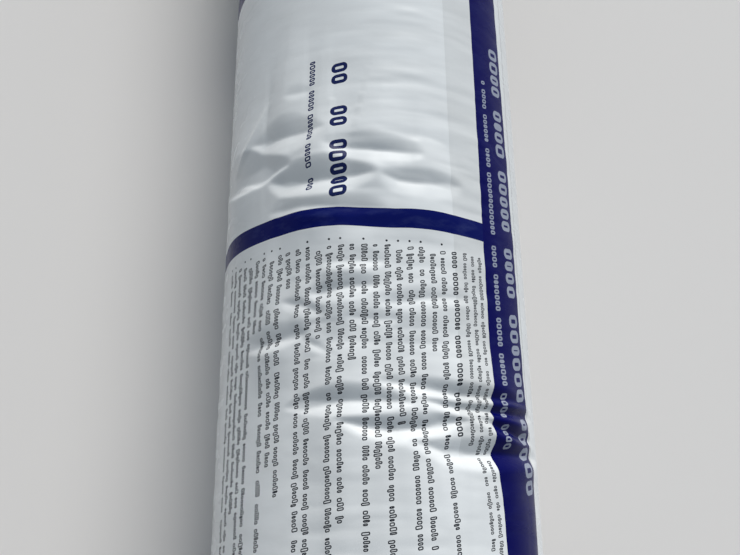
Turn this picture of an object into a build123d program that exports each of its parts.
from build123d import *
import math
import os

# Roll of synthetic roofing underlayment, lying on its side, in millimetres.
# The roll's axis runs along Y, Z is up, and the origin is on the floor under the middle of the roll.
# Angles round the roll are in degrees, measured from straight up towards +X.

# The sheet, as the trade sells it: 48 in wide and 250 ft long
sheet_width = 1219.2
sheet_length = 76200.0
sheet_thickness = 0.2

# The paperboard core that the sheet is wound on
core_bore_diameter = 50.8
core_wall = 4.0
core_recess = 1.5

# How the turns show on the ends: groups of turns that wandered along the roll while it was wound
turns_in_group = 18
wander = 1.1
quick_wander_share = 0.55
slow_wander_groups = 9.0
quick_wander_groups = 2.6

# The free end of the sheet, a line along the roll
tail_angle = 13.5

# The printed film sleeve round the middle of the roll, lapped over itself and glued
wrapper_length = 331.0
film_thickness = 0.15
film_slack = 0.3
film_lap = 30.0
lap_edge_angle = 50.0

# Sizes that follow from the ones above
core_outer_radius = core_bore_diameter / 2 + core_wall
wound_area = sheet_length * sheet_thickness
coil_radius = math.sqrt(core_outer_radius**2 + wound_area / math.pi)
turn_count = (coil_radius - core_outer_radius) / sheet_thickness
group_count = max(2, round(turn_count / turns_in_group))
group_depth = (coil_radius - core_outer_radius) / group_count
film_inner_radius = coil_radius + film_slack
film_lap_angle = math.degrees(film_lap / film_inner_radius)

ROLL_AXIS = Axis((0, 0, 0), (0, 1, 0))


def at_angle(radius, angle):
    """The point of the roll's cross-section at a radius and an angle from straight up."""
    turned = math.radians(angle)
    return Vector(radius * math.sin(turned), 0, radius * math.cos(turned))


def one_turn_outline(radius, step, edge_angle, side):
    """A closed outline of one turn of sheet or film, which ends in a step at edge_angle.

    The outline has its full radius on one side of the edge, and comes back lower by the step after a turn.
    It is two half circles, the second with its centre half a step off the axis. side is 1 where the full
    radius lies at larger angles than the edge, and -1 where it lies at smaller ones.
    """
    high = at_angle(radius, edge_angle)
    quarter = at_angle(radius, edge_angle + side * 90)
    opposite = at_angle(radius, edge_angle + 180)
    low = at_angle(radius - step, edge_angle)
    small_radius = radius - step / 2
    small_centre = at_angle(-step / 2, edge_angle)
    three_quarter = small_centre + at_angle(small_radius, edge_angle - side * 90)
    first_half = ThreePointArc(high, quarter, opposite)
    second_half = ThreePointArc(opposite, three_quarter, low)
    return Face(Wire([first_half, second_half, Line(low, high)]))


def along_roll(face, length):
    """A face of the cross-section, drawn out to a length that is centred on the middle of the roll."""
    return Pos(0, -length / 2, 0) * extrude(face, length, dir=(0, 1, 0))


def group_shift(index):
    """How far a group of turns wandered towards +Y, before the shifts are centred."""
    slow = math.sin(2 * math.pi * index / slow_wander_groups)
    quick = math.sin(2 * math.pi * index / quick_wander_groups)
    return wander * (slow + quick_wander_share * quick)


def make_coil():
    """The wound sheet: turned with its stepped ends and its bore, then trimmed to the last turn's outline."""
    shifts = [group_shift(index) for index in range(group_count)]
    middle = (max(shifts) + min(shifts)) / 2
    trim_allowance = group_depth / 2
    far_end = []
    near_end = []
    for index, shift in enumerate(shifts):
        inner = core_outer_radius + index * group_depth
        outer = inner + group_depth
        if index == group_count - 1:
            outer += trim_allowance
        for radius in (inner, outer):
            far_end.append((0, sheet_width / 2 + shift - middle, radius))
            near_end.append((0, -sheet_width / 2 + shift - middle, radius))
    profile = Face(Wire.make_polygon(far_end + near_end[::-1], close=True))
    turned = revolve(profile, ROLL_AXIS)
    last_turn = one_turn_outline(coil_radius, sheet_thickness, tail_angle, 1)
    return turned & along_roll(last_turn, 2 * sheet_width)


def make_core():
    """The paperboard tube, cut a little shorter than the sheet is wide."""
    length = sheet_width - 2 * core_recess
    tube = Cylinder(core_outer_radius, length) - Cylinder(core_bore_diameter / 2, length)
    return Rot(90, 0, 0) * tube


def make_wrapper():
    """The film sleeve: one thickness all round, and two where its end is glued over its start."""
    outside = one_turn_outline(film_inner_radius + 2 * film_thickness, film_thickness, lap_edge_angle, -1)
    inside_edge = lap_edge_angle - film_lap_angle
    inside = one_turn_outline(film_inner_radius + film_thickness, film_thickness, inside_edge, -1)
    return along_roll(outside, wrapper_length) - along_roll(inside, wrapper_length)


wrapper = make_wrapper()
axis_height = -wrapper.bounding_box().min.Z
pieces = {
    "underlayment_coil": make_coil(),
    "core_tube": make_core(),
    "wrapper_film": wrapper,
}

os.makedirs("parts", exist_ok=True)
for name, piece in pieces.items():
    placed = Pos(0, 0, axis_height) * piece
    placed.label = name
    export_step(placed, f"parts/{name}.step")

print("roll axis height", round(axis_height, 4), "coil radius", round(coil_radius, 4))
print("turns", round(turn_count, 1), "groups", group_count)
